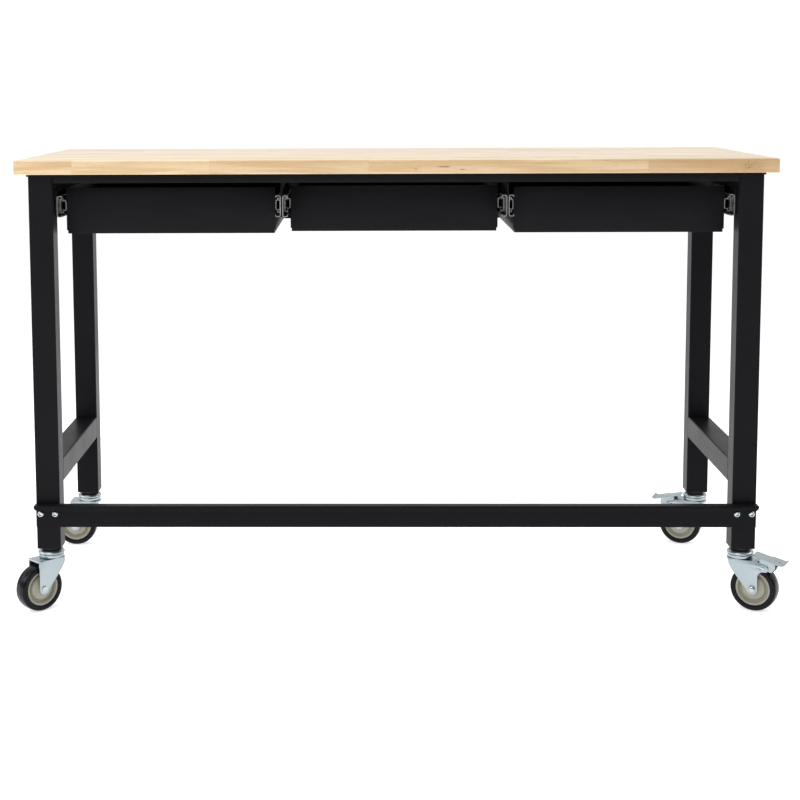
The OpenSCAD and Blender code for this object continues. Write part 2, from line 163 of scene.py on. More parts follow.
class Graph:
    """A node tree with one method that makes any node."""

    def __init__(self, tree: bpy.types.NodeTree) -> None:
        """Start from a tree, which may already hold nodes."""
        self.tree = tree

    def node(
        self,
        kind: str,
        settings: Mapping[str, Any] | None = None,
        inputs: Mapping[int | str, Any] | None = None,
        output: int | str = 0,
    ) -> Signal:
        """Make a node, set it up and feed it.

        Args:
            kind: the node's type.
            settings: its own properties.
            inputs: a value or a signal for each named or numbered input.
            output: which output to hand back.

        Returns:
            The chosen output.
        """
        made = self.tree.nodes.new(kind)
        for key, value in (settings or {}).items():
            setattr(made, key, value)
        for key, value in (inputs or {}).items():
            if isinstance(value, Signal):
                self.tree.links.new(value.socket, made.inputs[key])
            else:
                made.inputs[key].default_value = value
        return Signal(self, made.outputs[output])

    def math(self, operation: str, first: Signal | float, second: Signal | float = 0.0) -> Signal:
        """Make a Math node of two values."""
        return self.node("ShaderNodeMath", {"operation": operation}, {0: first, 1: second})

    def combine(self, x: Signal | float, y: Signal | float, z: Signal | float) -> Signal:
        """Make a vector from its three parts."""
        return self.node("ShaderNodeCombineXYZ", None, {0: x, 1: y, 2: z})

    def split(self, vector: Signal) -> tuple[Signal, Signal, Signal]:
        """Give the three parts of a vector or colour."""
        parts = self.node("ShaderNodeSeparateXYZ", None, {0: vector}).socket.node.outputs
        return tuple(Signal(self, part) for part in parts)

    def noise(self, vector: Signal, scale: float, detail: float = 2.0, **more: float) -> Signal:
        """Make a noise texture's value over a vector.

        Args:
            vector: where it is read.
            scale: its number of features per unit.
            detail: how many finer layers it adds.
            more: other inputs, such as roughness or distortion.

        Returns:
            The value, around one half.
        """
        feeds = {"Vector": vector, "Scale": scale, "Detail": detail}
        feeds.update({key.capitalize(): value for key, value in more.items()})
        return self.node("ShaderNodeTexNoise", None, feeds)

    def step(self, value: Signal, low: float, high: float) -> Signal:
        """Rise smoothly from 0 to 1.

        Args:
            value: what is measured.
            low: the value up to which the result is 0.
            high: the value from which the result is 1.

        Returns:
            The result.
        """
        return self.node(
            "ShaderNodeMapRange",
            {"interpolation_type": "SMOOTHSTEP"},
            {"Value": value, "From Min": low, "From Max": high},
        )

    def blend(self, factor: Signal, first: Signal | Colour, second: Signal | Colour) -> Signal:
        """Mix two colours.

        Args:
            factor: 0 for the first colour, 1 for the second.
            first, second: the colours.

        Returns:
            The mixed colour.
        """
        pair = [c if isinstance(c, Signal) else (*c, 1.0) for c in (first, second)]
        return self.node(
            "ShaderNodeMix", {"data_type": "RGBA"}, {0: factor, 6: pair[0], 7: pair[1]}, 2
        )


class Paint(Graph):
    """The node tree of one material."""

    def __init__(self, name: str) -> None:
        """Make an empty material.

        Args:
            name: of the material.
        """
        self.material = bpy.data.materials.new(name)
        self.material.use_nodes = True
        super().__init__(self.material.node_tree)
        self.tree.nodes.clear()
        self.place = self.node("ShaderNodeTexCoord", output="Object")

    def vector(self, operation: str, first: Signal, second: Signal | Triple) -> Signal:
        """Make a Vector Math node of two vectors."""
        return self.node("ShaderNodeVectorMath", {"operation": operation}, {0: first, 1: second})

    def scaled(self, x: float, y: float, z: float) -> Signal:
        """Give the object's coordinates, scaled along each axis."""
        return self.vector("MULTIPLY", self.place, (x, y, z))

    def bump(self, height: Signal, depth: float, strength: float = 1.0) -> Signal:
        """Turn a relief into a normal.

        Args:
            height: the relief, from 0 to 1.
            depth: what 1 stands for, in metres.
            strength: how much of it is used.

        Returns:
            The normal.
        """
        return self.node(
            "ShaderNodeBump", None, {"Strength": strength, "Distance": depth, "Height": height}
        )

    def finish(self, **sockets: Any) -> bpy.types.Material:
        """Close the tree with a Principled shader.

        Args:
            sockets: values or signals, with underscores for the spaces in socket names.

        Returns:
            The finished material.
        """
        feeds = {key.replace("_", " "): value for key, value in sockets.items()}
        surface = self.node("ShaderNodeBsdfPrincipled", None, feeds)
        out = self.tree.nodes.new("ShaderNodeOutputMaterial")
        self.tree.links.new(surface.socket, out.inputs["Surface"])
        return self.material


# ---- finishes ----


@dataclass(frozen=True)
class PowderCoat:
    """Satin powder coat on steel: a faint orange peel and dust-fine unevenness."""

    name: str
    colour: Colour
    roughness: float = 0.36
    peel_depth: float = 0.06 * MM
    specular: float = 0.07
    peel_scale: float = 620.0
    grit_scale: float = 2600.0
    cloud_scale: float = 7.0

    def material(self) -> bpy.types.Material:
        """Build the material.

        Returns:
            The finished material.
        """
        paint = Paint(self.name)
        peel = paint.noise(paint.place, self.peel_scale, 2.0)
        grit = paint.noise(paint.place, self.grit_scale, 1.0)
        cloud = paint.noise(paint.place, self.cloud_scale, 4.0, roughness=0.6)
        pale = tuple(channel * 1.4 + 0.001 for channel in self.colour)
        return paint.finish(
            Base_Color=paint.blend(cloud, self.colour, pale),
            Roughness=self.roughness + (cloud - 0.5) * 0.16 + (grit - 0.5) * 0.05,
            Specular_IOR_Level=self.specular,
            Normal=paint.bump(peel * 0.8 + grit * 0.2, self.peel_depth),
        )


@dataclass(frozen=True)
class ZincPlate:
    """Blue-white zinc plate: bright, a little cloudy, with drawing lines in the sheet."""

    name: str
    colour: Colour
    roughness: float = 0.3
    line_scale: Triple = (60.0, 60.0, 900.0)
    line_depth: float = 0.03 * MM
    cloud_scale: float = 38.0
    speck_scale: float = 900.0

    def material(self) -> bpy.types.Material:
        """Build the material.

        Returns:
            The finished material.
        """
        paint = Paint(self.name)
        cloud = paint.noise(paint.place, self.cloud_scale, 4.0, roughness=0.65)
        drawn = paint.noise(paint.scaled(*self.line_scale), 1.0, 3.0)
        speck = paint.step(paint.noise(paint.place, self.speck_scale, 1.0), 0.62, 0.75)
        warm = (self.colour[0] * 1.04, self.colour[1] * 1.01, self.colour[2] * 0.93)
        dull = tuple(channel * 0.72 for channel in self.colour)
        tint = paint.blend(cloud, self.colour, warm)
        return paint.finish(
            Base_Color=paint.blend(speck * 0.35, tint, dull),
            Metallic=1.0,
            Roughness=self.roughness + (cloud - 0.5) * 0.22 + drawn * 0.06,
            Normal=paint.bump(drawn * 0.7 + cloud * 0.3, self.line_depth),
        )


@dataclass(frozen=True)
class BrushedAluminium:
    """Anodised aluminium, brushed along X."""

    name: str
    colour: Colour
    roughness: float = 0.34
    hair_scale: Triple = (14.0, 2600.0, 2600.0)
    hair_depth: float = 0.02 * MM
    cloud_scale: float = 16.0

    def material(self) -> bpy.types.Material:
        """Build the material.

        Returns:
            The finished material.
        """
        paint = Paint(self.name)
        hair = paint.noise(paint.scaled(*self.hair_scale), 1.0, 4.0)
        cloud = paint.noise(paint.place, self.cloud_scale, 2.0)
        dark = tuple(channel * 0.86 for channel in self.colour)
        return paint.finish(
            Base_Color=paint.blend(hair, dark, self.colour),
            Metallic=1.0,
            Roughness=self.roughness + (hair - 0.5) * 0.18 + (cloud - 0.5) * 0.08,
            Normal=paint.bump(hair, self.hair_depth),
        )


@dataclass(frozen=True)
class Moulded:
    """A moulded part in plastic, rubber or polyurethane."""

    name: str
    colour: Colour
    roughness: float
    grain_scale: float = 900.0
    depth: float = 0.04 * MM
    contrast: float = 0.22
    specular: float = 0.4
    scuff_scale: Triple = (160.0, 160.0, 40.0)
    cloud_scale: float = 26.0

    def material(self) -> bpy.types.Material:
        """Build the material.

        Returns:
            The finished material.
        """
        paint = Paint(self.name)
        cloud = paint.noise(paint.place, self.cloud_scale, 4.0, roughness=0.6)
        grain = paint.noise(paint.place, self.grain_scale, 2.0)
        scuff = paint.step(paint.noise(paint.scaled(*self.scuff_scale), 1.0, 5.0), 0.56, 0.74)
        dark = tuple(channel * (1 - self.contrast) for channel in self.colour)
        light = tuple(channel * (1 + self.contrast) + 0.002 for channel in self.colour)
        return paint.finish(
            Base_Color=paint.blend(cloud, dark, light),
            Roughness=self.roughness + scuff * 0.14 + (grain - 0.5) * 0.08,
            Specular_IOR_Level=self.specular,
            Normal=paint.bump(grain, self.depth),
        )


@dataclass(frozen=True)
class Flaw:
    """A knot or a dark mineral streak in the wood: its middle, and its half sizes."""

    middle: Triple
    reach: Triple
    strength: float
    veined: bool = False


@dataclass(frozen=True)
class StaveWood:
    """Finger-jointed hardwood staves under a satin lacquer, running along X."""

    name: str
    pale: Colour
    tan: Colour
    brown: Colour
    stain: Colour
    edge_y: float
    stave: float = 0.61 / 14
    block: float = 0.27
    finger: float = 11 * MM
    finger_pitch: float = 6.2 * MM
    joint_width: float = 0.9 * MM
    seam_width: float = 0.5 * MM
    relief: float = 0.05 * MM
    row_shift: float = 7.313
    slant: float = 0.05
    flaws: tuple[Flaw, ...] = ()

    def material(self) -> bpy.types.Material:
        """Build the material.

        Returns:
            The finished material.
        """
        paint = Paint(self.name)
        x, y, z = paint.split(paint.place)
        row = paint.math("FLOOR", (y - self.edge_y) / self.stave)
        slope = 2 * self.finger / self.finger_pitch
        comb = paint.math("PINGPONG", y, self.finger_pitch / 2) * slope
        along = (x + comb) / self.block + row * self.row_shift
        cells = {"voronoi_dimensions": "1D"}
        edges = {**cells, "feature": "DISTANCE_TO_EDGE"}
        spread = {"W": along, "Scale": 1.0, "Randomness": 0.85}
        tone = paint.node("ShaderNodeTexVoronoi", cells, spread, "Color")
        first, second, third = paint.split(tone)
        gap = paint.node("ShaderNodeTexVoronoi", edges, spread)
        joint = 1 - paint.step(gap * self.block, 0.0, self.joint_width)
        across = paint.math("PINGPONG", y - self.edge_y, self.stave / 2)
        seam = 1 - paint.step(across, 0.0, self.seam_width)
        streak, fibre, pores = self._grain(paint, (x, y, z), (first, second, third))
        body = paint.blend(first * 0.4, self.pale, self.tan)
        body = paint.blend(streak * (0.5 + second * 0.45), body, self.tan)
        body = paint.blend(paint.step(third, 0.84, 1.0) * 0.22, body, self.brown)
        body = paint.blend(pores * 0.36, body, self.brown)
        body = paint.blend(fibre * 0.14, body, self.brown)
        lines = paint.math("MAXIMUM", joint * 0.5, seam * 0.28)
        body = paint.blend(lines, body, self.brown)
        body = paint.blend(self._flaws(paint), body, self.stain)
        relief = fibre * 0.4 + (1 - pores) * 0.6 - lines * 0.4
        return paint.finish(
            Base_Color=body,
            Roughness=0.42 + streak * 0.1 - pores * 0.06,
            Coat_Weight=0.7,
            Coat_Roughness=0.2,
            Normal=paint.bump(relief, self.relief),
        )

    def _grain(
        self,
        paint: Paint,
        place: tuple[Signal, Signal, Signal],
        block: tuple[Signal, Signal, Signal],
    ) -> tuple[Signal, Signal, Signal]:
        """Make growth streaks, fine fibre and pores, different in each block.

        Args:
            paint: the material's tree.
            place: the object's coordinates.
            block: three random numbers of the block.

        Returns:
            Streaks, fibre and pores, each from 0 to 1.
        """
        x, y, z = place
        first, second, third = block
        turned = y + x * ((second - 0.5) * self.slant)

        # Along the grain, each pattern is stretched; each block reads another place of it.
        broad = paint.combine(
            x * 3.6 + first * 31.0, turned * 95.0 + third * 17.0, z * 95.0 + second * 9.0
        )
        pith = paint.combine(
            x * 0.9 + third * 11.0, turned * 11.0 + first * 5.0, z * 11.0 + second * 3.0
        )
        fine = paint.combine(x * 11.0 + second * 13.0, turned * 520.0, z * 520.0)
        tiny = paint.combine(x * 70.0 + first * 7.0, turned * 1500.0, z * 1500.0)

        wander = paint.noise(broad, 1.0, 3.0, distortion=0.6)
        rings = paint.math("SINE", (paint.noise(pith, 1.0, 1.0) * 9.0 + wander * 1.3) * 6.283)
        streak = paint.step(wander * 0.55 + (rings * 0.5 + 0.5) * 0.45, 0.25, 0.85)
        fibre = paint.step(paint.noise(fine, 1.0, 4.0), 0.42, 0.72)
        pores = paint.step(paint.noise(tiny, 1.0, 1.0), 0.62, 0.72)
        return streak, fibre, pores

    def _flaws(self, paint: Paint) -> Signal:
        """Mark the wood round each flaw, with a ragged outline or in thin veins.

        Args:
            paint: the material's tree.

        Returns:
            How dark it is, from 0 to 1.
        """
        ragged = paint.noise(paint.scaled(90.0, 400.0, 400.0), 1.0, 3.0)
        swirl = paint.noise(paint.scaled(60.0, 60.0, 130.0), 1.0, 2.0, distortion=1.2)
        veins = 1 - paint.step(paint.math("ABSOLUTE", swirl - 0.5), 0.004, 0.026)
        total: Signal | float = 0.0
        for flaw in self.flaws:
            offset = paint.vector("SUBTRACT", paint.place, flaw.middle)
            shaped = paint.vector("DIVIDE", offset, flaw.reach)
            length = {"operation": "LENGTH"}
            far = paint.node("ShaderNodeVectorMath", length, {0: shaped}, "Value")
            near = (1 - paint.step(far + ragged * 0.9, 0.5, 1.35)) * flaw.strength
            if flaw.veined:
                near = near * (veins * 0.85 + 0.15)
            total = near if isinstance(total, float) else paint.math("MAXIMUM", total, near)
        return total


# ---- meshes ----


class Shape:
    """A mesh being built in a piece's own local frame."""

    def __init__(self) -> None:
        """Start empty."""
        self.mesh = bmesh.new()

    @classmethod
    def from_node(cls, node: str, frame: Matrix | None = None) -> Shape:
        """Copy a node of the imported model, with its triangles merged into faces.

        Args:
            node: the node's name.
            frame: the local frame to bring the copy into.

        Returns:
            The copy.
        """
        shape = cls()
        shape.mesh.from_mesh(bpy.data.objects[node].data)
        bmesh.ops.remove_doubles(shape.mesh, verts=shape.mesh.verts, dist=MERGE_GAP)
        bmesh.ops.dissolve_limit(
            shape.mesh,
            angle_limit=math.radians(0.6),
            verts=shape.mesh.verts,
            edges=shape.mesh.edges,
        )
        if frame is not None:
            shape.mesh.transform(frame.inverted())
        return shape

    def lathe(self, outline: Sequence[Point2], steps: int, place: Matrix) -> Shape:
        """Add a solid of revolution about the local Z of place.

        Args:
            outline: (radius, height) points; it closes on itself unless it starts and ends
                on the axis.
            steps: how many sides it has.
            place: where it goes.

        Returns:
            This shape.
        """
        angles = [2 * math.pi * i / steps for i in range(steps)]
        rings = []
        for radius, height in outline:
            if radius == 0:
                rings.append([self.mesh.verts.new(place @ Vector((0, 0, height)))] * steps)
            else:
                rings.append(self.ring([radius] * steps, angles, height, place))
        open_ended = outline[0][0] == 0 and outline[-1][0] == 0
        pairs = list(zip(rings, rings[1:])) + ([] if open_ended else [(rings[-1], rings[0])])
        for lower, upper in pairs:
            for i in range(steps):
                j = (i + 1) % steps
                corners = [lower[i], lower[j], upper[j], upper[i]]
                face = list(dict.fromkeys(corners))
                if len(face) > 2:
                    self.mesh.faces.new(face)
        return self

    def ring(
        self, radii: Sequence[float], angles: Sequence[float], height: float, place: Matrix
    ) -> list[bmesh.types.BMVert]:
        """Add one ring of points round the local Z of place.

        Args:
            radii: how far each point is from the axis.
            angles: the angle of each point.
            height: of them all.
            place: where the ring goes.

        Returns:
            The points.
        """
        return [
            self.mesh.verts.new(
                place @ Vector((radius * math.cos(angle), radius * math.sin(angle), height))
            )
            for radius, angle in zip(radii, angles)
        ]

    def prism(self, outline: Sequence[Point2], low: float, high: float, place: Matrix) -> Shape:
        """Add an outline that is extruded along the local Z of place.

        Args:
            outline: its corners in the local XY.
            low, high: where it starts and ends along Z.
            place: where it goes.

        Returns:
            This shape.
        """
        rings = [
            [self.mesh.verts.new(place @ Vector((u, v, level))) for u, v in outline]
            for level in (low, high)
        ]
        self.mesh.faces.new(rings[0])
        self.mesh.faces.new(rings[1])
        for i in range(len(outline)):
            j = (i + 1) % len(outline)
            self.mesh.faces.new([rings[0][i], rings[0][j], rings[1][j], rings[1][i]])
        return self

    def box(
        self, low: Sequence[float], high: Sequence[float], place: Matrix | None = None
    ) -> Shape:
        """Add a box between two corners."""
        outline = [(low[0], low[1]), (high[0], low[1]), (high[0], high[1]), (low[0], high[1])]
        return self.prism(outline, low[2], high[2], place or Matrix.Identity(4))

    def sheet(
        self,
        centre: Sequence[Point2],
        thickness: float,
        bend: float,
        stations: Sequence[float],
        place: Matrix,
    ) -> Shape:
        """Add a folded sheet whose section runs along the local Z of place.

        Args:
            centre: the corners of the section's middle line, in the local XY.
            thickness: of the sheet.
            bend: radius of the middle line in each fold.
            stations: heights along Z at which the section is set.
            place: where it goes.

        Returns:
            This shape.
        """
        line = rounded(centre, bend)
        left, right = offsets(line, thickness / 2)
        rows = [
            [
                [self.mesh.verts.new(place @ Vector((u, v, level))) for u, v in side]
                for side in (left, right)
            ]
            for level in stations
        ]
        last = len(line) - 1
        for lower, upper in zip(rows, rows[1:]):
            for side in (0, 1):
                for i in range(last):
                    self.mesh.faces.new(
                        [lower[side][i], lower[side][i + 1], upper[side][i + 1], upper[side][i]]
                    )
            for i in (0, last):
                self.mesh.faces.new([lower[0][i], lower[1][i], upper[1][i], upper[0][i]])
        for row in (rows[0], rows[-1]):
            for i in range(last):
                self.mesh.faces.new([row[0][i], row[0][i + 1], row[1][i + 1], row[1][i]])
        return self

    def ease(
        self,
        width: float,
        segments: int = 2,
        pick: Callable[[bmesh.types.BMEdge], bool] | None = None,
    ) -> Shape:
        """Round the sharp edges.

        Args:
            width: how far the rounding reaches from an edge.
            segments: its number of faces.
            pick: which of the sharp edges to round, or all of them.

        Returns:
            This shape.
        """
        self.mesh.normal_update()
        sharp = [
            edge
            for edge in self.mesh.edges
            if len(edge.link_faces) == 2
            and edge.calc_face_angle(0.0) > SMOOTH_BELOW
            and (pick is None or pick(edge))
        ]
        bmesh.ops.bevel(
            self.mesh,
            geom=sharp,
            offset=width,
            offset_type="OFFSET",
            segments=segments,
            profile=0.5,
            affect="EDGES",
            clamp_overlap=False,
        )
        return self

    def outward(self) -> Shape:
        """Turn every face outwards."""
        bmesh.ops.recalc_face_normals(self.mesh, faces=self.mesh.faces)
        return self

    def placed(self, frame: Matrix) -> Shape:
        """Move the shape from its local frame into the bench's."""
        self.mesh.transform(frame)
        return self

    def to_object(self, name: str) -> bpy.types.Object:
        """Make a mesh object of it, smooth but for its sharp edges.

        Args:
            name: of the object.

        Returns:
            The object.
        """
        data = bpy.data.meshes.new(name)
        self.mesh.to_mesh(data)
        self.mesh.free()
        data.polygons.foreach_set("use_smooth", [True] * len(data.polygons))
        data.set_sharp_from_angle(angle=SMOOTH_BELOW)
        made = bpy.data.objects.new(name, data)
        bpy.context.scene.collection.objects.link(made)
        return made


def rounded(corners: Sequence[Point2], radius: float, steps: int = 5) -> list[Point2]:
    """Round the inner corners of an open line with arcs.

    Args:
        corners: the line's corners.
        radius: of the arcs, made smaller where a stretch is too short.
        steps: faces in each arc.

    Returns:
        The points of the rounded line.
    """
    points = [Vector(corner) for corner in corners]
    line = [points[0]]
    for before, here, after in zip(points, points[1:], points[2:]):
        back, ahead = (before - here).normalized(), (after - here).normalized()
        half = back.angle(ahead) / 2
        room = 0.49 * min((before - here).length, (after - here).length)
        cut = min(radius / math.tan(half), room)
        reach = cut * math.tan(half)
        middle = here + (back + ahead).normalized() * (reach / math.sin(half))
        start, end = here + back * cut - middle, here + ahead * cut - middle
        turn = start.angle_signed(end)
        for i in range(steps + 1):
            arm = start.copy()
            arm.rotate(Matrix.Rotation(-turn * i / steps, 2))
            line.append(middle + arm)
    line.append(points[-1])
    return [tuple(point) for point in line]


def offsets(line: Sequence[Point2], gap: float) -> tuple[list[Point2], list[Point2]]:
    """Give the lines that run beside a line.

    Args:
        line: the line's points.
        gap: how far away they run.

    Returns:
        The line to the left and the line to the right.
    """
    points = [Vector(point) for point in line]
    last = len(points) - 1
    left, right = [], []
    for i, here in enumerate(points):
        spans = [points[j + 1] - points[j] for j in (i - 1, i) if 0 <= j < last]
        runs = [span.normalized() for span in spans if span.length > 0]
        along = sum(runs, Vector((0, 0))).normalized()
        normal = Vector((-along.y, along.x)) / max(along.dot(runs[0]), 0.5)
        left.append(tuple(here + normal * gap))
        right.append(tuple(here - normal * gap))
    return left, right


# ---- pieces that Geometry Nodes set out ----


class Layout(Graph):
    """A Geometry Nodes tree with named inputs, run once on an object."""

    def __init__(self, name: str, sizes: Mapping[str, str]) -> None:
        """Make the tree and its inputs.

        Args:
            name: of the tree.
            sizes: the socket type of each named input.
        """
        group = bpy.data.node_groups.new(name, "GeometryNodeTree")
        super().__init__(group)
        face = group.interface
        face.new_socket("Geometry", in_out="OUTPUT", socket_type="NodeSocketGeometry")
        face.new_socket("Geometry", in_out="INPUT", socket_type="NodeSocketGeometry")
        self.identifiers = {
            key: face.new_socket(key, in_out="INPUT", socket_type=kind).identifier
            for key, kind in sizes.items()
        }
        self.entry = group.nodes.new("NodeGroupInput")

    def size(self, key: str) -> Signal:
        """Give a named input's signal."""
        return Signal(self, self.entry.outputs[key])

    def instances(
        self, points: Signal, part: Signal, more: Mapping[str, Signal] | None = None
    ) -> Signal:
        """Set an instance of a part on every point, with more inputs if they are given."""
        feeds = {"Points": points, "Instance": part, **(more or {})}
        return self.node("GeometryNodeInstanceOnPoints", None, feeds)

    def close(self, instances: Signal) -> None:
        """End the tree: realize the instances and set their material.

        Args:
            instances: what the tree has set out.
        """
        real = self.node("GeometryNodeRealizeInstances", None, {"Geometry": instances})
        clad = self.node(
            "GeometryNodeSetMaterial", None, {"Geometry": real, "Material": self.size("Material")}
        )
        out = self.tree.nodes.new("NodeGroupOutput")
        self.tree.links.new(clad.socket, out.inputs["Geometry"])

    def run(
        self, name: str, points: Iterable[Vector], values: Mapping[str, Any]
    ) -> bpy.types.Object:
        """Run the tree on a set of points.

        Args:
            name: of the object that is made.
            points: what the tree's Geometry holds.
            values: the named inputs.

        Returns:
            An object with a plain mesh.
        """
        seed = bpy.data.meshes.new(name + "_points")
        seed.from_pydata([tuple(point) for point in points], [], [])
        holder = bpy.data.objects.new(name + "_layout", seed)
        bpy.context.scene.collection.objects.link(holder)
        modifier = holder.modifiers.new("layout", "NODES")
        modifier.node_group = self.tree
        for key, value in values.items():
            modifier[self.identifiers[key]] = value
        bpy.context.view_layer.update()
        grown = holder.evaluated_get(bpy.context.evaluated_depsgraph_get())
        data = bpy.data.meshes.new_from_object(grown)
        data.name = name
        data.polygons.foreach_set("use_smooth", [True] * len(data.polygons))
        data.set_sharp_from_angle(angle=SMOOTH_BELOW)
        bpy.data.objects.remove(holder)
        made = bpy.data.objects.new(name, data)
        bpy.context.scene.collection.objects.link(made)
        return made


class PartOnPoints(Layout):
    """Sets a copy of one part on every point, all turned the same way."""

    def __init__(self) -> None:
        """Build the tree."""
        super().__init__(
            "part on points",
            {
                "Part": "NodeSocketObject",
                "Turn": "NodeSocketVector",
                "Material": "NodeSocketMaterial",
            },
        )
        part = self.node(
            "GeometryNodeObjectInfo", None, {"Object": self.size("Part")}, "Geometry"
        )
        self.close(self.instances(self.size("Geometry"), part, {"Rotation": self.size("Turn")}))

    def set_out(
        self,
        name: str,
        part: Shape,
        points: Iterable[Vector],
        material: bpy.types.Material,
        turn: Sequence[float] = (0.0, 0.0, 0.0),
    ) -> bpy.types.Object:
        """Put a part on each point.

        Args:
            name: of the object that is made.
            part: what is repeated, in its own frame.
            points: where the copies go.
            material: of the copies.
            turn: their rotation about X, Y and Z.

        Returns:
            An object with the plain mesh of them all.
        """
        pattern = part.outward().to_object(name + "_one")
        made = self.run(name, points, {"Part": pattern, "Turn": turn, "Material": material})
        bpy.data.objects.remove(pattern)
        return made


class RibbedRing(Layout):
    """Upright ribs round a ring at each point, as on a moulded collar."""

    def __init__(self) -> None:
        """Build the tree."""
        super().__init__(
            "ribbed ring",
            {
                "Ribs": "NodeSocketInt",
                "Ring Radius": "NodeSocketFloat",
                "Rib Radius": "NodeSocketFloat",
                "Rib Height": "NodeSocketFloat",
                "Material": "NodeSocketMaterial",
            },
        )
        rib = self.node(
            "GeometryNodeMeshCylinder",
            {"fill_type": "NGON"},
            {
                "Vertices": 8,
                "Radius": self.size("Rib Radius"),
                "Depth": self.size("Rib Height"),
            },
        )
        ring = self.node(
            "GeometryNodeMeshCircle",
            None,
            {"Vertices": self.size("Ribs"), "Radius": self.size("Ring Radius")},
        )
        self.close(self.instances(self.size("Geometry"), self.instances(ring, rib)))


# ---- the bench ----


@dataclass
class Workshop:
    """What every sub-assembly needs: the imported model, the materials and the layouts."""

    frame: dict[str, Any]
    materials: dict[str, bpy.types.Material] = field(default_factory=dict)

    def __post_init__(self) -> None:
        """Make the layouts and index the joints."""
        self.on_points = PartOnPoints()
        self.ribs = RibbedRing()
        self.joints = {joint["name"]: joint for joint in self.frame["joints"]}
        self.body_of = {
            node: body
            for body, nodes in self.frame["record"]["behaviour"]["bodies"].items()
            for node in nodes
        }

    def clad(self, slot: str, nodes: Iterable[str]) -> None:
        """Give nodes whose shape is right their material.

        Args:
            slot: the record's material slot.
            nodes: the nodes' names.
        """
        for node in nodes:
            data = self.frame["nodes"][node].data
            data.materials.clear()
            data.materials.append(self.materials[slot])
            LOG.info("%s keeps its shape, in %s", node, slot)

    def fit(self, made: bpy.types.Object, body: str, slot: str, *nodes: str) -> bpy.types.Object:
        """Finish a new piece: its material, its body and the nodes that it stands for.

        Args:
            made: the piece.
            body: what it moves with.
            slot: the record's material slot.
            nodes: the nodes that it replaces.

        Returns:
            The piece.
        """
        made.data.materials.clear()
        made.data.materials.append(self.materials[slot])
        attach(made, body)
        if nodes:
            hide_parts(*nodes)
        LOG.info("%s: %d faces, rides on %s", made.name, len(made.data.polygons), body)
        return made

    def eased(self, node: str, slot: str, width: float, segments: int = 2) -> bpy.types.Object:
        """Replace a node with a copy that has rounded edges.

        Args:
            node: the node's name.
            slot: the record's material slot.
            width: how far the rounding reaches.
            segments: its number of faces.

        Returns:
            The new piece.
        """
        shape = Shape.from_node(node).ease(width, segments)
        return self.fit(shape.to_object(node + "_eased"), self.body_of[node], slot, node)


@dataclass
class Worktop:
    """The board glued up from staves, with its edges eased."""

    shop: Workshop
    edge: float = 2.2 * MM
    edge_faces: int = 3

    def build(self) -> None:
        """Make the board."""
        self.shop.eased("worktop", "wood_top", self.edge, self.edge_faces)


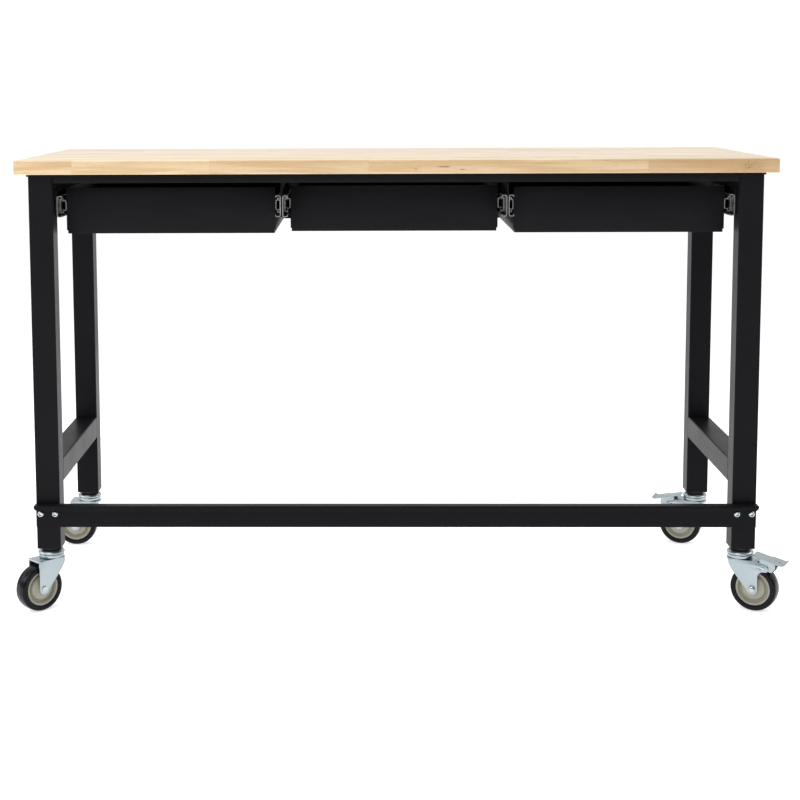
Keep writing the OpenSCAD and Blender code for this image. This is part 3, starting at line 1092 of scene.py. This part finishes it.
@dataclass
class SteelFrame:
    """Legs, rails and the bolted back stretcher."""

    shop: Workshop
    sheet: float = 2 * MM
    lip_round: float = 8 * MM
    lip_height: float = 10 * MM
    bend: float = 2.2 * MM
    bolt_radius: float = 7 * MM
    bolt_height: float = 4.5 * MM
    socket_radius: float = 3.5 * MM
    socket_depth: float = 4 * MM
    bolt_spread: float = 15.5 * MM
    bolt_drop: float = 23 * MM
    bolt_sides: int = 24
    fold_edge: float = 0.5 * MM
    bar_edge: float = 0.6 * MM
    cut_edge: float = 0.35 * MM
    screw_inset: float = 5 * MM
    screw_head: float = 3 * MM
    screws_per_row: int = 5
    cross_half: float = 2.4 * MM
    cross_blade: float = 0.5 * MM
    cross_low: float = 2.2 * MM
    cross_high: float = 2.75 * MM

    def build(self) -> None:
        """Make the frame's pieces."""
        ends = (Side.LEFT.value, Side.RIGHT.value)
        self.shop.clad("frame_black", [f"leg_{corner.value}" for corner in Corner])
        self.shop.clad("frame_black", [f"side_stretcher_{end}" for end in ends])
        self.shop.clad("frame_black", [f"top_rail_{end}" for end in ends])
        for node in ("top_rail_back", "top_rail_front"):
            self.shop.eased(node, "frame_black", self.fold_edge)
        for end in ends:
            self.shop.eased(f"drawer_hanger_{end}", "frame_black", self.fold_edge)
            self.shop.eased(f"slide_bar_{end}", "frame_black", self.bar_edge)
        self._back_stretcher()
        self._stretcher_bolts()
        self._worktop_screws()
        self.shop.clad("bolt_zinc", ["slide_screws"])

    def _back_stretcher(self) -> None:
        """Fold the stretcher from one sheet, its lip rounded at both ends."""
        low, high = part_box("back_stretcher")
        half = self.sheet / 2
        top, floor = high.z - half, high.z - self.lip_height
        section = [
            (high.y - half, low.z),
            (high.y - half, top),
            (low.y + half, top),
            (low.y + half, floor),
        ]
        turns = [math.radians(angle) for angle in range(0, 100, 10)]
        steps = [self.lip_round * (1 - math.cos(turn)) for turn in turns]
        stations = [low.x + step for step in steps] + [high.x - step for step in reversed(steps)]
        shape = Shape().sheet(section, self.sheet, self.bend, stations, SECTION_ALONG_X)
        for vert in shape.mesh.verts:
            inset = self.lip_round - min(vert.co.x - low.x, high.x - vert.co.x)
            on_lip = vert.co.y < low.y + 2 * self.sheet and vert.co.z < floor + self.lip_round
            if inset > 0 and on_lip:
                rise = self.lip_round - math.sqrt(max(self.lip_round**2 - inset**2, 0.0))
                vert.co.z = max(vert.co.z, min(floor + rise, high.z - 2 * self.sheet))
        shape.outward().ease(self.cut_edge, 1)
        made = shape.to_object("stretcher_folded")
        self.shop.fit(made, "frame", "frame_black", "back_stretcher")

    def _socket_bolt(self) -> Shape:
        """Make a button-head bolt with a hexagon socket, its axis along Z.

        Returns:
            The head, standing on Z = 0.
        """
        height, sides = self.bolt_height, self.bolt_sides
        base = height - self.socket_depth
        angles = [2 * math.pi * i / sides for i in range(sides)]
        sixth = math.pi / 3
        hexagon = [self.socket_radius / math.cos(a % sixth - sixth / 2) for a in angles]
        mouth = [1.06 * radius for radius in hexagon]
        dome = [(0.62, 0.99), (0.73, 0.92), (0.84, 0.8), (0.93, 0.6), (0.985, 0.3), (1.0, 0.0)]
        levels = [(hexagon, base), (hexagon, height * 0.97), (mouth, height)]
        levels += [([self.bolt_radius * share] * sides, height * lift) for share, lift in dome]
        shape = Shape()
        mesh = shape.mesh
        floor = mesh.verts.new((0, 0, base))
        rings = [shape.ring(radii, angles, level, Matrix()) for radii, level in levels]
        for i in range(sides):
            mesh.faces.new([floor, rings[0][i], rings[0][(i + 1) % sides]])
        for lower, upper in zip(rings, rings[1:]):
            for i in range(sides):
                j = (i + 1) % sides
                mesh.faces.new([lower[i], lower[j], upper[j], upper[i]])
        mesh.faces.new(list(reversed(rings[-1])))
        return shape

    def _stretcher_bolts(self) -> None:
        """Set four socket bolts in the stretcher's ends."""
        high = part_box("back_stretcher")[1]
        points = []
        for corner in (Corner.BACK_LEFT, Corner.BACK_RIGHT):
            leg_low, leg_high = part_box(f"leg_{corner.value}")
            middle = (leg_low.x + leg_high.x) / 2
            for x in (middle - self.bolt_spread, middle + self.bolt_spread):
                points.append(Vector((x, high.y - self.sheet, high.z - self.bolt_drop)))
        made = self.shop.on_points.set_out(
            "stretcher_socket_bolts",
            self._socket_bolt(),
            points,
            self.shop.materials["bolt_zinc"],
            (math.radians(90), 0.0, 0.0),
        )
        self.shop.fit(made, "frame", "bolt_zinc", "stretcher_bolts")

    def _worktop_screws(self) -> None:
        """Set the screws that hold the board to the rails, heads down."""
        low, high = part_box("worktop_screws")
        outline = [
            (0, 2.4), (1.2, 2.4), (1.6, 3.0), (3.4, 2.8), (4.6, 2.0), (5, 0.8), (5, 0), (0, 0),
        ]
        head = Shape().lathe(in_metres(outline), 20, Matrix())
        half, blade = self.cross_half, self.cross_blade
        for turn in (0, math.pi / 2):
            spin = Matrix.Rotation(turn, 4, "Z")
            head.box((-half, -blade, self.cross_low), (half, blade, self.cross_high), spin)
        first, last = low.x + self.screw_inset, high.x - self.screw_inset
        pitch = (last - first) / (self.screws_per_row - 1)
        points = [
            Vector((first + pitch * i, y, low.z + self.screw_head))
            for y in (low.y + self.screw_inset, high.y - self.screw_inset)
            for i in range(self.screws_per_row)
        ]
        made = self.shop.on_points.set_out(
            "worktop_screw_heads",
            head,
            points,
            self.shop.materials["bolt_zinc"],
            (math.pi, 0.0, 0.0),
        )
        self.shop.fit(made, "frame", "bolt_zinc", "worktop_screws")


@dataclass
class Slides:
    """The pair of ball-bearing slides of one drawer."""

    shop: Workshop
    side: Side
    sheet: float = 1.2 * MM
    bend: float = 3.6 * MM
    ball: float = 1.9 * MM
    ball_pitch: float = 12 * MM
    ball_out: float = 6 * MM
    row_lift: float = 18.6 * MM
    rows_from: float = 34 * MM
    rows_to: float = 388 * MM
    cage_half: float = 0.4 * MM
    cage_tall: float = 2.1 * MM
    cage_before: float = 8 * MM
    cage_after: float = 4 * MM
    cage_edge: float = 0.2 * MM

    def __post_init__(self) -> None:
        """Find the slides' fixed faces, each with its way to the drawer, and their middle."""
        low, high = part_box(f"slide_cabinet_{self.side.value}")
        self.faces = [(low.x, 1.0), (high.x, -1.0)]
        self.middle = (low.z + high.z) / 2

    def build(self) -> None:
        """Make the fixed, middle and drawer members."""
        side = self.side.value
        self._members(f"slide_cabinet_{side}", "frame", 0.0, 11.0, 45.0, 4.2)
        self._members(f"slide_drawer_{side}", f"drawer_{side}", 12.7, 4.6, 22.6, 3.0)
        self._members(f"slide_intermediate_{side}", f"slide_{side}", 2.2, 8.8, 31.4, 4.0)
        self._balls()

    def _members(
        self, node: str, body: str, web: float, reach: float, height: float, lip: float
    ) -> None:
        """Fold one member of both slides.

        Args:
            node: the node that the pair replaces.
            body: what it moves with.
            web: distance of the web's outer face from the fixed face, in millimetres.
            reach: how far out its lips stand, in millimetres.
            height: over its flanges, in millimetres.
            lip: height of its lips, in millimetres.
        """
        low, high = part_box(node)
        half = self.sheet / 2
        way = 1.0 if reach > web else -1.0
        inner, outer = web * MM + way * half, reach * MM - way * half
        tall = height * MM / 2 - half
        short = height * MM / 2 - lip * MM
        lower = [(outer, -short), (outer, -tall), (inner, -tall)]
        section = lower + [(u, -v) for u, v in reversed(lower)]
        shape = Shape()
        for face, way_in in self.faces:
            place = Matrix(
                ((way_in, 0, 0, face), (0, 0, 1, 0), (0, 1, 0, self.middle), (0, 0, 0, 1))
            )
            shape.sheet(section, self.sheet, self.bend, (low.y, high.y), place)
        made = shape.outward().to_object(node + "_folded")
        self.shop.fit(made, body, "slide_zinc", node)

    def _balls(self) -> None:
        """Set one row of steel balls high and one low in each slide, with their cages."""
        side = self.side.value
        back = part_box(f"slide_intermediate_{side}")[0].y
        start, stop = back + self.rows_from, back + self.rows_to
        rows = [
            (face + way_in * self.ball_out, self.middle + lift * self.row_lift)
            for face, way_in in self.faces
            for lift in (-1, 1)
        ]
        points = [
            Vector((x, start + self.ball_pitch * i, z))
            for x, z in rows
            for i in range(int((stop - start) / self.ball_pitch))
        ]
        ball = Shape()
        bmesh.ops.create_icosphere(ball.mesh, subdivisions=2, radius=self.ball)
        made = self.shop.on_points.set_out(
            f"slide_balls_{side}", ball, points, self.shop.materials["bolt_zinc"]
        )
        self.shop.fit(made, f"slide_{side}", "bolt_zinc")
        cages = Shape()
        for x, z in rows:
            cages.box(
                (x - self.cage_half, start - self.cage_before, z - self.cage_tall),
                (x + self.cage_half, stop + self.cage_after, z + self.cage_tall),
            )
        made = cages.outward().ease(self.cage_edge, 1).to_object(f"slide_cages_{side}")
        self.shop.fit(made, f"slide_{side}", "slide_zinc")


@dataclass
class Drawer:
    """One drawer: its box, its front and its pull rail."""

    shop: Workshop
    side: Side
    box_edge: float = 0.5 * MM
    front_edge: float = 1.0 * MM
    pull_edge: float = 0.3 * MM

    def build(self) -> None:
        """Make the drawer's pieces."""
        side = self.side.value
        self.shop.eased(f"drawer_box_{side}", "drawer_black", self.box_edge)
        self.shop.eased(f"drawer_front_{side}", "drawer_black", self.front_edge, 3)
        self.shop.eased(f"drawer_pull_{side}", "pull_aluminium", self.pull_edge)
        Slides(self.shop, self.side).build()


@dataclass
class Caster:
    """One swivel caster, built with its trail along its own X.

    The outlines of its turned and pressed parts are lists of corners in millimetres.
    """

    shop: Workshop
    corner: Corner
    fork_half: float = 22 * MM
    crown_round: float = 2.6 * MM
    fork_edge: float = 0.4 * MM
    shoulder_mm: float = 5.2
    shoulder_at_mm: Point2 = (49.3, 10.8)
    tyre_steps: int = 96
    rim_steps: int = 72
    pedal_edge: float = 0.35 * MM
    pedal_fall: float = 0.214
    plate_inside: float = 16.25 * MM
    plate_outside: float = 18.55 * MM
    grip_ribs: int = 3
    pad_edge: float = 0.8 * MM

    def __post_init__(self) -> None:
        """Find the caster's own frame from its two joints."""
        name = self.corner.value
        self.braked = self.corner in BRAKED
        pivot = Vector(self.shop.joints[f"caster_{name}_swivel"]["pos_m"])
        hub = Vector(self.shop.joints[f"wheel_{name}_spin"]["pos_m"])
        trail = hub - pivot
        angle = math.atan2(trail.y, trail.x)
        self.frame = Matrix.Translation((pivot.x, pivot.y, 0)) @ Matrix.Rotation(angle, 4, "Z")
        self.hub = Matrix.Translation((trail.to_2d().length, 0, hub.z)) @ AXIS_ALONG_Y

    def build(self) -> None:
        """Make the caster's pieces."""
        self._tyre()
        self._rim()
        self._axle()
        self._fork()
        if self.braked:
            self._brake()

    def _lathed(
        self, name: str, body: str, slot: str, half: Sequence[Point2], steps: int, node: str
    ) -> None:
        """Turn a wheel part on the hub.

        Args:
            name: of the piece.
            body: what it moves with.
            slot: the record's material slot.
            half: the outline on one side of the wheel's middle, in millimetres.
            steps: how many sides it has.
            node: the node that it replaces.
        """
        outline = in_metres([*half, *((r, -h) for r, h in reversed(half))])
        shape = Shape().lathe(outline, steps, self.frame @ self.hub).outward()
        self.shop.fit(shape.to_object(name), body, slot, node)

    def _tyre(self) -> None:
        """Turn the tyre: a crowned tread with a parting line, and round shoulders."""
        corner = self.corner.value
        turns = [math.radians(angle) for angle in range(90, 0, -15)]
        out, up = self.shoulder_at_mm
        shoulder = [
            (out - self.shoulder_mm * (1 - math.cos(turn)), up + self.shoulder_mm * math.sin(turn))
            for turn in turns
        ]
        bead = [(37.4, 15.2), (38.6, 15.9)]
        tread = [(49.3, 10.4), (49.65, 7), (49.85, 3.5), (49.86, 0.5), (49.99, 0.2)]
        self._lathed(
            f"tyre_moulded_{corner}",
            f"wheel_{corner}",
            "tyre_black",
            [*bead, *shoulder, *tread],
            self.tyre_steps,
            f"tyre_{corner}",
        )

    def _rim(self) -> None:
        """Turn the rim: a hub, a dished web and a rolled outer lip."""
        corner = self.corner.value
        half = [
            (5.06, 17.5), (10.2, 17.5), (11.0, 16.9), (11.6, 14.2), (13.2, 13.4), (21.5, 12.4),
            (24.2, 11.4), (25.6, 9.2), (26.6, 6.9), (28.2, 6.1), (29.8, 6.5), (31.0, 8.6),
            (32.2, 12.6), (33.2, 14.3), (34.8, 15.0), (36.4, 14.7), (37.5, 13.6),
        ]
        self._lathed(
            f"rim_moulded_{corner}",
            f"wheel_{corner}",
            "rim_beige",
            half,
            self.rim_steps,
            f"rim_{corner}",
        )

    def _axle(self) -> None:
        """Make the axle bolt with its domed head and spun end, and the brake's pivot pin."""
        corner = self.corner.value
        out = self.fork_half / MM
        outline = [
            (0, out + 5.4), (1.4, out + 5.1), (3.6, out + 5.0), (5.4, out + 4.4), (6.8, out + 3.2),
            (7.7, out + 1.6), (8, out + 0.3), (7.9, out), (5, out),
            (5, -out), (6.3, -out), (6.5, -out - 0.5), (6.3, -out - 1.3), (5.4, -out - 1.6),
            (3.2, -out - 1.6), (2.6, -out - 1.0), (0, -out - 0.9),
        ]
        shape = Shape().lathe(in_metres(outline), 32, self.frame @ self.hub)
        if self.braked:
            pivot = self.shop.joints[f"brake_{corner}_press"]["pos_m"]
            at = self.frame.inverted() @ Vector(pivot)
            pin = self.frame @ Matrix.Translation((at.x, 0, at.z)) @ AXIS_ALONG_Y
            rivet = [
                (0, out + 1.5), (3.2, out + 1.4), (4.3, out + 0.8), (4.5, out), (3, out),
                (3, -out), (4.5, -out), (4.3, -out - 0.8), (3.2, -out - 1.4), (0, -out - 1.5),
            ]
            shape.lathe(in_metres(rivet), 24, pin)
        made = shape.outward().to_object(f"axle_turned_{corner}")
        self.shop.fit(made, f"caster_{corner}", "bolt_zinc", f"axle_{corner}")

    def _fork(self) -> None:
        """Press the fork: its crown rolls over into the two blades."""
        corner = self.corner.value
        shape = Shape.from_node(f"fork_{corner}", self.frame)

        def is_outside(vert: bmesh.types.BMVert) -> bool:
            """Tell whether a point lies on the outer face of a blade."""
            return abs(abs(vert.co.y) - self.fork_half) < TOUCH_GAP

        top = max(vert.co.z for vert in shape.mesh.verts if is_outside(vert))

        def is_crown_fold(edge: bmesh.types.BMEdge) -> bool:
            """Tell whether an edge runs along the outside of the crown."""
            return all(is_outside(v) and abs(v.co.z - top) < TOUCH_GAP for v in edge.verts)

        shape.ease(self.crown_round, 5, is_crown_fold).ease(self.fork_edge)
        made = shape.placed(self.frame).to_object(f"fork_pressed_{corner}")
        self.shop.fit(made, f"caster_{corner}", "caster_zinc", f"fork_{corner}")

    def _brake(self) -> None:
        """Make the rubber pad and the pedal.

        The pedal has side plates that cover the pad, a fold line, a dimple for the toe and
        ribs on its turned-up tip.
        """
        corner = self.corner.value
        shape = Shape.from_node(f"brake_pedal_{corner}", self.frame).ease(self.pedal_edge)
        tip = max(v.co.x for v in shape.mesh.verts)
        plate = [(56, 103), (57, 115), (76, 111), (80, 108), (80, 99), (73, 90.5), (64, 93)]
        inside, outside = self.plate_inside, self.plate_outside
        for low, high in ((-outside, -inside), (inside, outside)):
            shape.prism(in_metres(plate), low, high, AXIS_ALONG_Y)

        fold = [(0, -17.8), (0.7, -17.8), (0.7, 17.8), (0, 17.8)]
        at_fold = Matrix.Translation((67 * MM, 0, 115.2 * MM))
        shape.lathe(in_metres(fold), 10, at_fold @ AXIS_ALONG_Y)

        dimple = [(0, 0), (6, 0), (5.4, 1.2), (3.6, 2.1), (0, 2.5)]
        tilt = Matrix.Rotation(math.atan(self.pedal_fall), 4, "Y")
        shape.lathe(in_metres(dimple), 24, Matrix.Translation((82 * MM, 0, 111.6 * MM)) @ tilt)

        rib = [(0, -20.5), (0.8, -20.5), (0.9, 0), (0.8, 20.5), (0, 20.5)]
        for i in range(self.grip_ribs):
            at_rib = Matrix.Translation((tip - (2.2 + 2.4 * i) * MM, 0, (111.4 - i) * MM))
            shape.lathe(in_metres(rib), 10, at_rib @ AXIS_ALONG_Y)

        made = shape.outward().placed(self.frame).to_object(f"pedal_pressed_{corner}")
        self.shop.fit(made, f"pedal_{corner}", "caster_zinc", f"brake_pedal_{corner}")
        self.shop.eased(f"brake_pad_{corner}", "pad_rubber", self.pad_edge)


@dataclass
class LegEnds:
    """What all four legs carry at their lower ends: ribbed collars and upper races."""

    shop: Workshop
    ribs: int = 26
    collar_radius: float = 19.5 * MM
    collar_height: float = 6 * MM
    rib_radius: float = 1.5 * MM
    rib_share: float = 0.92
    chamfer: float = 1 * MM
    plug_half: float = 23 * MM
    plug_edge: float = 0.5 * MM
    race_edge: float = 0.6 * MM

    def build(self) -> None:
        """Make the collars, the plugs above them and the races."""
        low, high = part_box("leg_plugs")
        feet = [
            Vector(self.shop.joints[f"caster_{corner.value}_swivel"]["pos_m"]).to_2d()
            for corner in Corner
        ]
        inner, top = self.collar_radius - self.rib_radius, low.z + self.collar_height
        level = low.z + self.collar_height / 2
        made = self.shop.ribs.run(
            "collar_ribs",
            [Vector((foot.x, foot.y, level)) for foot in feet],
            {
                "Ribs": self.ribs,
                "Ring Radius": inner,
                "Rib Radius": self.rib_radius,
                "Rib Height": self.collar_height * self.rib_share,
                "Material": self.shop.materials["collar_black"],
            },
        )
        self.shop.fit(made, "frame", "collar_black")
        outline = [
            (0, low.z),
            (inner - self.chamfer, low.z),
            (inner, low.z + self.chamfer),
            (inner, top),
            (0, top),
        ]
        half = self.plug_half
        core = Shape()
        for foot in feet:
            place = Matrix.Translation((foot.x, foot.y, 0))
            core.lathe(outline, 48, place)
            core.box((-half, -half, top), (half, half, high.z), place)
        made = core.outward().ease(self.plug_edge, 1).to_object("leg_plugs_moulded")
        self.shop.fit(made, "frame", "collar_black", "leg_plugs")
        self.shop.eased("caster_races", "caster_zinc", self.race_edge, 3)


@dataclass
class Studio:
    """Pale floor, soft lights and the camera, which is turned by angles in degrees."""

    eye: Triple = (-0.05599, -3.55572, 1.11847)
    heading: float = -0.8926
    tilt: float = -6.4157
    lean: float = -0.2292
    lens: float = 71.17
    sensor: float = 36.0
    shift: tuple[float, float] = (0.0705, -0.17)
    floor_half: float = 30.0
    floor_glow: float = 0.6
    sky_behind: float = 0.18
    sky_more_ahead: float = 0.68
    sky_seen: float = 1.05

    def build(self) -> None:
        """Make the studio."""
        self._floor()
        self._lights()
        self._world()
        self._camera()

    def _floor(self) -> None:
        """Lay a wide pale floor that glows a little, so that shadows stay soft on it."""
        half = self.floor_half
        floor = Shape().box((-half, -half, -0.02), (half, half, 0)).to_object("studio_floor")
        paint = Paint("studio floor")
        tone = paint.noise(paint.place, 0.7, 2.0)
        floor.data.materials.append(
            paint.finish(
                Base_Color=paint.blend(tone, (0.86, 0.86, 0.86), (0.9, 0.9, 0.9)),
                Roughness=0.8,
                Specular_IOR_Level=0.1,
                Emission_Color=(1.0, 1.0, 1.0, 1.0),
                Emission_Strength=self.floor_glow,
            )
        )

    @staticmethod
    def _area(name: str, place: Vector, target: Vector, size: float, power: float) -> None:
        """Hang a square soft light.

        Args:
            name: of the light.
            place: where it hangs.
            target: what it faces.
            size: its side.
            power: in watts.
        """
        data = bpy.data.lights.new(name, "AREA")
        data.size = size
        data.energy = power
        lamp = bpy.data.objects.new(name, data)
        lamp.location = place
        lamp.rotation_euler = (target - place).to_track_quat("-Z", "Y").to_euler()
        bpy.context.scene.collection.objects.link(lamp)

    def _lights(self) -> None:
        """Hang a large overhead light, a high one behind the camera and one each side."""
        middle = Vector((0, 0, 0.6))
        self._area("overhead", Vector((0, 0.6, 3.6)), Vector((0, 0, 0.9)), 3.2, 42)
        self._area("high key", Vector((-1.6, -3.4, 3.4)), middle, 3.2, 95)
        self._area("left", Vector((-3.6, -0.6, 2.0)), middle, 1.8, 34)
        self._area("right", Vector((3.6, -0.4, 2.0)), middle, 1.8, 28)

    def _world(self) -> None:
        """Surround the bench with white that lights it less from its back."""
        world = bpy.data.worlds.new("studio")
        bpy.context.scene.world = world
        world.use_nodes = True
        graph = Graph(world.node_tree)
        world.node_tree.nodes.clear()
        seen = graph.node("ShaderNodeLightPath", output="Is Camera Ray")
        ahead = graph.split(graph.node("ShaderNodeTexCoord", output="Generated"))[1]
        lit = graph.step(ahead, -0.7, 0.95) * self.sky_more_ahead + self.sky_behind
        strength = graph.math("MAXIMUM", lit, seen * self.sky_seen)
        sky = graph.node(
            "ShaderNodeBackground", None, {"Color": (1.0, 1.0, 1.0, 1.0), "Strength": strength}
        )
        out = world.node_tree.nodes.new("ShaderNodeOutputWorld")
        world.node_tree.links.new(sky.socket, out.inputs["Surface"])

    def _camera(self) -> None:
        """Stand the camera behind the bench, a little above its top."""
        yaw, pitch, roll = (math.radians(a) for a in (self.heading, self.tilt, self.lean))
        ahead = Vector(
            (math.sin(yaw) * math.cos(pitch), math.cos(yaw) * math.cos(pitch), math.sin(pitch))
        )
        level = Vector((math.cos(yaw), -math.sin(yaw), 0))
        upright = level.cross(ahead)
        right = level * math.cos(roll) + upright * math.sin(roll)
        above = upright * math.cos(roll) - level * math.sin(roll)
        data = bpy.data.cameras.new("camera")
        data.lens = self.lens
        data.sensor_width = self.sensor
        data.shift_x, data.shift_y = self.shift
        camera = bpy.data.objects.new("camera", data)
        turn = Matrix((right, above, -ahead)).transposed()
        camera.matrix_world = Matrix.Translation(self.eye) @ turn.to_4x4()
        bpy.context.scene.collection.objects.link(camera)
        bpy.context.scene.camera = camera
        bpy.context.scene.view_settings.view_transform = "Standard"


def finishes(board: tuple[Vector, Vector]) -> dict[str, bpy.types.Material]:
    """Build every material of the bench.

    Args:
        board: the worktop's lowest and highest corners.

    Returns:
        The material of each of the record's slots.
    """
    low, high = board
    flaws = (
        Flaw((0.731, low.y, high.z - 0.014), (0.04, 0.03, 0.02), 0.85, True),
        Flaw((0.102, low.y, high.z - 0.0146), (0.026, 0.02, 0.0022), 0.9),
        Flaw((0.139, low.y, high.z - 0.0202), (0.012, 0.02, 0.0016), 0.8),
        Flaw((0.042, low.y, high.z - 0.019), (0.006, 0.02, 0.0025), 0.5),
        Flaw((-0.31, low.y + 0.19, high.z), (0.03, 0.004, 0.01), 0.55),
        Flaw((0.42, high.y - 0.11, high.z), (0.008, 0.007, 0.02), 0.6),
    )
    coats = {
        "wood_top": StaveWood(
            "lacquered staves",
            linear(243, 221, 180),
            linear(214, 176, 120),
            linear(164, 118, 74),
            linear(110, 66, 36),
            low.y,
            flaws=flaws,
        ),
        "frame_black": PowderCoat("black powder coat", linear(19, 19, 22)),
        "drawer_black": PowderCoat("drawer powder coat", linear(22, 22, 25), 0.4),
        "caster_zinc": ZincPlate("blue-white zinc", (0.42, 0.49, 0.54), 0.3),
        "slide_zinc": ZincPlate("clear zinc", (0.44, 0.45, 0.46), 0.26, (900.0, 12.0, 900.0)),
        "bolt_zinc": ZincPlate("bright zinc", (0.52, 0.57, 0.61), 0.2),
        "pull_aluminium": BrushedAluminium("brushed aluminium", (0.72, 0.72, 0.73)),
        "tyre_black": Moulded("black polyurethane", linear(17, 16, 22), 0.16, specular=0.14),
        "rim_beige": Moulded("grey-beige core", linear(160, 158, 143), 0.42, contrast=0.08),
        "collar_black": Moulded("black moulding", linear(26, 26, 28), 0.3),
        "pad_rubber": Moulded("black rubber", linear(30, 30, 31), 0.7, depth=0.0001),
    }
    return {slot: coat.material() for slot, coat in coats.items()}


def main() -> None:
    """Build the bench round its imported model."""
    logging.basicConfig(level=logging.INFO, format="%(message)s")
    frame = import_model()
    shop = Workshop(frame, finishes(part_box("worktop")))
    Studio().build()
    Worktop(shop).build()
    SteelFrame(shop).build()
    for side in Side:
        Drawer(shop, side).build()
    LegEnds(shop).build()
    for corner in Corner:
        Caster(shop, corner).build()


if __name__ == "__main__":
    main()
